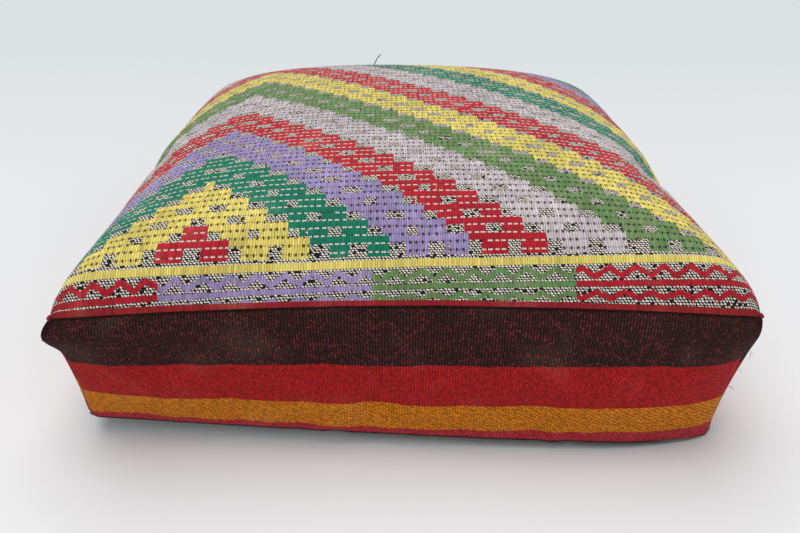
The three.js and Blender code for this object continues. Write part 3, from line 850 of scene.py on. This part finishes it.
WALL_HEIGHT = WALL_ROWS[-1]
BROWN = dye(50, 27, 23)
DEEP_RED = dye(160, 24, 26)
MUSTARD = dye(192, 112, 14)
PINKISH = dye(166, 42, 50)
FLECK_RED = dye(150, 50, 56)
RIB = 2.5  # from rib to rib, in millimetres
PICK = 2.1
TWILL = 3.6
PINK_TOP = 0.07  # the stripes' upper edges, as shares of the wall's height
MUSTARD_TOP = 0.3
RED_TOP = 0.61
STRIPE_RUN = 0.028  # how fast the stripes climb towards the right end of a side

striped_weave, (across, along) = effect_group(
    "striped weave",
    {"Across": 0.0, "Along": 0.0},
    {"Color": "Color", "Relief": "Float"},
)
place = point_at(across, along)
waver = (cloudy(place, 0.05, 2) - 0.5) * 3
level_up = (along + waver - across.most(0.0) * STRIPE_RUN) / WALL_HEIGHT
in_brown = level_up > RED_TOP
in_mustard = level_up.between(PINK_TOP, MUSTARD_TOP)
color = mixed(level_up > PINK_TOP, PINKISH, MUSTARD)
color = mixed(level_up > MUSTARD_TOP, color, DEEP_RED)
color = mixed(in_brown, color, BROWN)
fleck_place = point_at((across / RIB * 1.6).floor(), (along / PICK * 1.4).floor())
fleck_patches = cloudy(point_at(across * 0.4, along), 0.12, 3)
flecks = in_brown * (chance(fleck_place) + fleck_patches * 0.9).rise(1.05, 1.5)
color = mixed(flecks * 0.42, color, FLECK_RED)
rib = (across / RIB).zigzag()
pick = (along / PICK + (across / RIB).floor() * 0.5).zigzag()
unsteady = (cloudy(place, 0.2, 2) - 0.5) * 6
twill = ((across * 0.5 + along + unsteady) / TWILL).zigzag()
plain = rib.power(0.6) * 0.45 + pick.power(0.7) * 0.55
ribbed = rib * 0.75 + pick * 0.25
relief = plain + in_mustard * (twill * 0.4 + plain * 0.6 - plain) + in_brown * (ribbed - plain)
slubs = chance(point_at((across / RIB).floor(), (along / PICK).floor(), 7))
grain = cloudy(point_at(across * 0.6, along * 1.1), 1, 3)
# Painted shade: the colour is darkened by the weave's relief, in the hollows between ribs and picks and
# along the twill, deeper on some yarns than others; the grain adds the yarn's own uneven tone.
color = shaded(color, relief * (slubs * 0.9 + 1.4) + (grain - 0.5) * 1.8 - 0.08)
put_out(striped_weave, Color=color, Relief=relief * 0.8 + grain * 0.3)

stripes, tree, shader = start_material("striped rug", 0.9, 0.03)
across, along = on_cloth(tree)
woven = use(tree, striped_weave, Across=across, Along=along)
worn = use(tree, wool_shade, Across=across, Along=along, Color=woven["Color"], Variation=0.1)
plug(worn["Color"], shader.inputs["Base Color"])
raised(shader, woven["Relief"], 0.9 * MM)

ZIP_SLIT = 200 * MM  # half its length
SLIT_ROWS = (WALL_ROWS[1] * MM, WALL_ROWS[3] * MM)


def zip_slit(across_cloth, up_cloth):
    return abs(across_cloth) < ZIP_SLIT and SLIT_ROWS[0] < up_cloth < SLIT_ROWS[1]


for side, side_name in enumerate(("front", "right", "back", "left")):
    wall = cover[wall_net[side * CELLS:(side + 1) * CELLS + 1]]
    heights = np.array(WALL_ROWS) * MM
    cloth = np.stack(np.meshgrid(steps, heights, indexing="ij"), axis=-1)
    points, cloth = turned_edges(wall, cloth, 1, lift, -lift)
    along_side = np.array([-SIDE_OUT[side].y, SIDE_OUT[side].x, 0]) * SEAM_HALF
    points, cloth = turned_edges(points, cloth, 0, along_side, -along_side)
    hole = zip_slit if side_name == "back" else None
    gusset = sheet_of_cloth(side_name + "_side", points, cloth, RUG_THICKNESS, hole=hole)
    gusset.data.materials.append(stripes)
    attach(gusset, "cushion")
    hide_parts(side_name + "_gusset")


# ---- Bottom panel ----
# Plain grey cotton, which the cushion lies on. It is a little full, so it rolls out from under the seam
# before it meets the floor.

COTTON_THICKNESS = 1.0 * MM
plain_weave, (across, along, pitch) = effect_group(
    "plain weave", {"Across": 0.0, "Along": 0.0, "Pitch": 1.0}, {"Relief": "Float", "Grain": "Float"}
)
over = (across / pitch).zigzag()
under = (along / pitch + (across / pitch).floor() * 0.5).zigzag()
grain = cloudy(point_at(across * 0.5, along * 1.5), 1, 3)
put_out(plain_weave, Relief=over * 0.5 + under * 0.5, Grain=grain)


def plain_cloth(name, color, pitch, places=on_cloth, height=0.15 * MM):
    material, tree, shader = start_material(name, 0.85, 0.1)
    across, along = places(tree)
    weave = use(tree, plain_weave, Across=across, Along=along, Pitch=pitch)
    soiled = cloudy(point_at(across, along), 0.02, 3)
    # The weave's relief is painted into the colour as shade in its hollows; the grain and the soil are the
    # cloth's own uneven tone and dirt.
    shade = weave["Relief"] * 0.2 + weave["Grain"] * 0.35 + soiled * 0.35 + 0.55
    plug(shaded(color, shade), shader.inputs["Base Color"])
    raised(shader, weave["Relief"], height)
    return material


points, cloth = turned_edges(cover[bottom_net], flat_square, 0, -lift, -lift)
points, cloth = turned_edges(points, cloth, 1, -lift, -lift)
bottom_panel = sheet_of_cloth("cotton_bottom", points, cloth, COTTON_THICKNESS, faces_up=False)
bottom_panel.data.materials.append(plain_cloth("grey cotton", dye(112, 112, 110)[:3], 0.9))
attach(bottom_panel, "cushion")
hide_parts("bottom_panel")


# ---- Seams ----
# Machine stitches of strong dark thread, seen only in the grooves between the panels: round the top and
# the bottom, and up each corner.

THREAD = 0.45 * MM
STITCH_LENGTH = 3.2 * MM


def on_piece(tree):
    """The place on a piece as it stands, in metres."""
    return Signal(tree, tree.nodes.new("ShaderNodeTexCoord").outputs["Object"])


def cord_curve(name, radius, material):
    """A curve with a round section and no points yet."""
    curve = bpy.data.curves.new(name, "CURVE")
    curve.dimensions = "3D"
    curve.bevel_depth = radius
    curve.bevel_resolution = 1
    curve.materials.append(material)
    return curve


thread_material, tree, shader = start_material("sewing thread", 0.6)
fuzz = cloudy(on_piece(tree), 1800, 3)
plug(shaded(dye(48, 34, 32)[:3], fuzz + 0.5), shader.inputs["Base Color"])
raised(shader, fuzz, 0.1 * MM)


def stitch_line(name, route, inside, closed=False, radius=THREAD):
    """Stitches along a route, each diving towards the inside at its ends."""
    route, inside = np.array(route, float), np.array(inside, float)
    if closed:
        route, inside = np.vstack([route, route[:1]]), np.vstack([inside, inside[:1]])
    lengths = np.concatenate([[0], np.cumsum(np.linalg.norm(np.diff(route, axis=0), axis=1))])
    count = max(1, round(lengths[-1] / STITCH_LENGTH))
    shares = np.arange(count * 4 + (0 if closed else 1)) / 4
    at = shares / count * lengths[-1]
    middle = np.stack([np.interp(at, lengths, route[:, n]) for n in range(3)], axis=1)
    dive = np.stack([np.interp(at, lengths, inside[:, n]) for n in range(3)], axis=1)
    depth = (np.cos(shares * 2 * math.pi) * 0.5 + 0.5) * 1.2 * MM
    curve = cord_curve(name, radius, thread_material)
    spline = curve.splines.new("POLY")
    spline.points.add(len(at) - 1)
    for point, place in zip(spline.points, middle + dive * depth[:, None]):
        point.co = (*place, 1)
    spline.use_cyclic_u = closed
    piece = placed(name, curve)
    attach(piece, "cushion")
    return piece


SET_BACK = 0.9 * MM
CORNER_SET_BACK = 2.4 * MM  # a corner seam lies deeper, because its two edges meet at an angle
for name, row in (("top_seam", TOP_ROW), ("bottom_seam", 0)):
    seam = cover[wall_net[:-1, row]]
    piece = stitch_line(name, seam + inward(seam) * SET_BACK, inward(seam), closed=True)
    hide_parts(name + "_thread")
for side, corner_name in enumerate(("front_left", "front_right", "back_right", "back_left")):
    seam = cover[wall_net[side * CELLS]]
    piece = stitch_line(corner_name + "_seam", seam + inward(seam) * CORNER_SET_BACK, inward(seam))
    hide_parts(corner_name + "_corner_thread")


# ---- Zip ----
# It lies in the slit at the foot of the back panel, so that the insert can be taken out. Two woven tapes
# are stitched behind the slit, each with a nylon coil along its edge; metal stops end the coils.

ZIP_GREY = dye(62, 60, 60)


def by_side(tree):
    """Across and up the piece as it stands, in millimetres."""
    parts = tree.nodes.new("ShaderNodeSeparateXYZ")
    plug(on_piece(tree), parts.inputs[0])
    across, deep, up = (Signal(tree, output) * 1000 for output in parts.outputs)
    return across + deep, up


tape = plain_cloth("zip tape", ZIP_GREY[:3], 0.7, by_side, 0.1 * MM)
for node in ("zip_tape_upper", "zip_tape_lower"):
    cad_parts[node].data.materials.clear()
    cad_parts[node].data.materials.append(tape)

COIL_PITCH = 1.9 * MM
COIL_WIRE = 0.42 * MM
COIL_HEAD = 1.0 * MM  # each coil's heads reach this far into the other coil
COIL_STEPS = 14  # in a turn

nylon, tree, shader = start_material("nylon coil", 0.42)
across, up = by_side(tree)
dust = cloudy(point_at(across, up), 0.6, 3)
plug(shaded(ZIP_GREY[:3], dust * 0.8 + 0.5), shader.inputs["Base Color"])
plug(dust * 0.3 + 0.3, shader.inputs["Roughness"])

for node, toward, phase in (("zip_coil_lower", 1, 0.0), ("zip_coil_upper", -1, 0.5)):
    low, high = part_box(node)
    deep = (high.y - low.y) / 2 - COIL_WIRE
    reach = (high.z - low.z + COIL_HEAD) / 2 - COIL_WIRE
    center = Vector((0, (low.y + high.y) / 2, (low.z + high.z + toward * COIL_HEAD) / 2))
    turns = int((high.x - low.x - 2 * COIL_WIRE) / COIL_PITCH)
    coil = cord_curve(node, COIL_WIRE, nylon)
    spline = coil.splines.new("POLY")
    spline.points.add(turns * COIL_STEPS)
    for step, point in enumerate(spline.points):
        turn = step / COIL_STEPS
        angle = 2 * math.pi * (turn + phase)
        x = low.x + COIL_WIRE + (turn + phase / 2) * COIL_PITCH
        point.co = (x, center.y + deep * math.sin(angle), center.z + reach * math.cos(angle), 1)
    wound = placed(node.replace("zip_coil", "coil"), coil)
    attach(wound, "cushion")
    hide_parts(node)

# A row of stitches round the slit holds its folded edge to the tapes.
TOPSTITCH_GAP = 3.5 * MM
TOPSTITCH_LOW_GAP = 2.5 * MM  # nearer to the slit there, to stay clear of the bottom seam
TOPSTITCH_PROUD = 0.3 * MM
TOPSTITCH_THREAD = 0.35 * MM
slit_low = SEAM_BOTTOM + SLIT_ROWS[0] - TOPSTITCH_LOW_GAP
slit_high = SEAM_BOTTOM + SLIT_ROWS[1] + TOPSTITCH_GAP
slit_end = ZIP_SLIT + TOPSTITCH_GAP
wall_face = base_high.y + TOPSTITCH_PROUD
corners = [(-slit_end, slit_low), (slit_end, slit_low), (slit_end, slit_high), (-slit_end, slit_high)]
route = [(x, wall_face, z) for x, z in corners]
stitch_line("zip_topstitch", route, [(0, -1, 0)] * 4, closed=True, radius=TOPSTITCH_THREAD)


# ---- Zip slider and pull ----
# Cast zinc with a worn nickel finish, its edges a little rounded. The slider runs along the coils, its
# tab hangs from it, and a stop is clamped on each end of the chain.

worn_metal, tree, shader = start_material("worn nickel", 0.35)
across, up = by_side(tree)
rubbed = cloudy(point_at(across, up), 0.9, 4)
metal_color = mixed(rubbed.rise(0.45, 0.7), dye(150, 146, 138), dye(96, 88, 76))
plug(metal_color, shader.inputs["Base Color"])
plug(rubbed * 0.4 + 0.2, shader.inputs["Roughness"])
shader.inputs["Metallic"].default_value = 1.0
raised(shader, rubbed, 0.08 * MM)


def softened(name, node, body, round_by):
    """The frame's piece with its hard edges rounded."""
    piece = placed(name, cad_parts[node].data.copy())
    weld = piece.modifiers.new("weld", "WELD")
    weld.merge_threshold = 0.01 * MM
    edges = piece.modifiers.new("edges", "BEVEL")
    edges.width = round_by
    edges.segments = 2
    edges.limit_method = "ANGLE"
    bake_modifiers(piece)
    piece.data.materials.clear()
    piece.data.materials.append(worn_metal)
    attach(piece, body)
    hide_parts(node)


softened("slider", "zip_slider", "slider", 0.35 * MM)
softened("pull_tab", "zip_pull", "pull", 0.3 * MM)
softened("top_stop", "zip_top_stop", "cushion", 0.3 * MM)
softened("bottom_stop", "zip_bottom_stop", "cushion", 0.3 * MM)


# ---- Insert ----
# The cushion inside the cushion: a cotton casing, sewn from two halves round its middle and filled with
# polyester fibre. It fills the cover, and nothing of it shows while the zip is shut.

CASING_SHARE = 0.964  # of the cover's size, which leaves room for the cover's turned-in edges
FIBRE_SHARE = 0.955
MIDDLE_ROW = 7  # of the walls, where the casing's halves are sewn together
CASING_SEAM_HALF = 0.3 * MM
CASING_THICKNESS = 0.4 * MM
FIBRE_LUMP = 1.5 * MM
cover_middle = np.array([0, 0, (cover[:, 2].max() + cover[:, 2].min()) / 2])


def inside_cover(name, faces, share, material, node):
    """A smooth piece as the cover is, but smaller by a share."""
    used = sorted({int(n) for face in faces for n in face})
    place_of = {n: index for index, n in enumerate(used)}
    points = cover_middle + (cover[used] - cover_middle) * share
    piece = new_piece(name, points, [[place_of[int(n)] for n in face] for face in faces])
    piece.data.materials.append(material)
    piece.data.shade_smooth()
    smooth = piece.modifiers.new("smooth", "SUBSURF")
    smooth.levels = smooth.render_levels = 1
    bake_modifiers(piece)
    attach(piece, "cushion")
    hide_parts(node)
    return piece


casing_cloth = plain_cloth("casing cotton", dye(226, 220, 206)[:3], 0.6, by_side, 0.1 * MM)
top_faces = net_faces(top_net) + net_faces(wall_net[:, MIDDLE_ROW:])
bottom_faces = [list(reversed(face)) for face in net_faces(bottom_net)]
bottom_faces += net_faces(wall_net[:, :MIDDLE_ROW + 1])
halves = (("upper", top_faces, CASING_SEAM_HALF), ("lower", bottom_faces, -CASING_SEAM_HALF))
for name, faces, step_off in halves:
    casing = inside_cover(
        "casing_" + name, faces, CASING_SHARE, casing_cloth, "insert_casing_" + name
    )
    for vertex in casing.data.vertices:
        vertex.co.z += step_off
    thick = casing.modifiers.new("thickness", "SOLIDIFY")
    thick.thickness = CASING_THICKNESS
    thick.offset = -1
    bake_modifiers(casing)

fibre, tree, shader = start_material("polyester fibre", 0.95, 0.4)
fluff = cloudy(on_piece(tree), 90, 6)
plug(shaded(dye(240, 240, 238)[:3], fluff * 0.3 + 0.8), shader.inputs["Base Color"])
raised(shader, fluff, 4 * MM)
all_faces = top_faces + bottom_faces
filling = inside_cover("fibre_fill", all_faces, FIBRE_SHARE, fibre, "insert_fibre_fill")
random.seed(7)
waves = [Vector([random.uniform(-90, 90) for _ in range(3)]) for _ in range(6)]
outward = [vertex.normal.copy() for vertex in filling.data.vertices]
for vertex, normal in zip(filling.data.vertices, outward):
    lump = sum(math.sin(wave.dot(vertex.co)) for wave in waves) / len(waves)
    vertex.co -= normal * FIBRE_LUMP * (lump + 1) / 2


# ---- Loose ends ----
# Yarns that have worked out of the old cloth: a dark tuft towards the back of the top, and white sewing
# ends in three places at the right front corner.

YARN_END = 0.35 * MM
TUFT_LENGTH = 16 * MM
WHITE_END_LENGTH = 6 * MM
YARN_STEPS = 7


def loose_end(name, root, lean, length, radius, material, wave_seed):
    """A short yarn that curls as it leaves the cloth at its root."""
    draw = random.Random(wave_seed)
    curve = cord_curve(name, radius, material)
    for _ in range(draw.choice((2, 3))):
        side = Vector([draw.uniform(-1, 1) for _ in range(3)]) * 0.6
        spline = curve.splines.new("POLY")
        spline.points.add(YARN_STEPS)
        for step, point in enumerate(spline.points):
            share = step / YARN_STEPS
            bend = side * share * share + Vector((0, 0, -0.5)) * share ** 3
            point.co = (*(root + (lean * share + bend) * length), 1)
            point.radius = 1 - 0.5 * share
    piece = placed(name, curve)
    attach(piece, "cushion")


white_thread, tree, shader = start_material("white thread", 0.6)
fuzz = cloudy(on_piece(tree), 1800, 3)
plug(shaded(dye(226, 220, 212)[:3], fuzz * 0.4 + 0.8), shader.inputs["Base Color"])

tuft_root = Vector(cover[top_net[21, 40]])
tuft_lean = Vector((0.5, 0.1, 1.0))
loose_end("tuft", tuft_root, tuft_lean, TUFT_LENGTH, YARN_END * 2, thread_material, 3)
front_right = wall_net[CELLS + 1]
for number, row in enumerate((5, 7, 9)):
    root = Vector(cover[front_right[row]])
    lean = Vector((0.5, -0.35, 0.4 - 0.3 * number))
    name = f"white_end_{number + 1}"
    loose_end(name, root, lean, WHITE_END_LENGTH, YARN_END, white_thread, number)
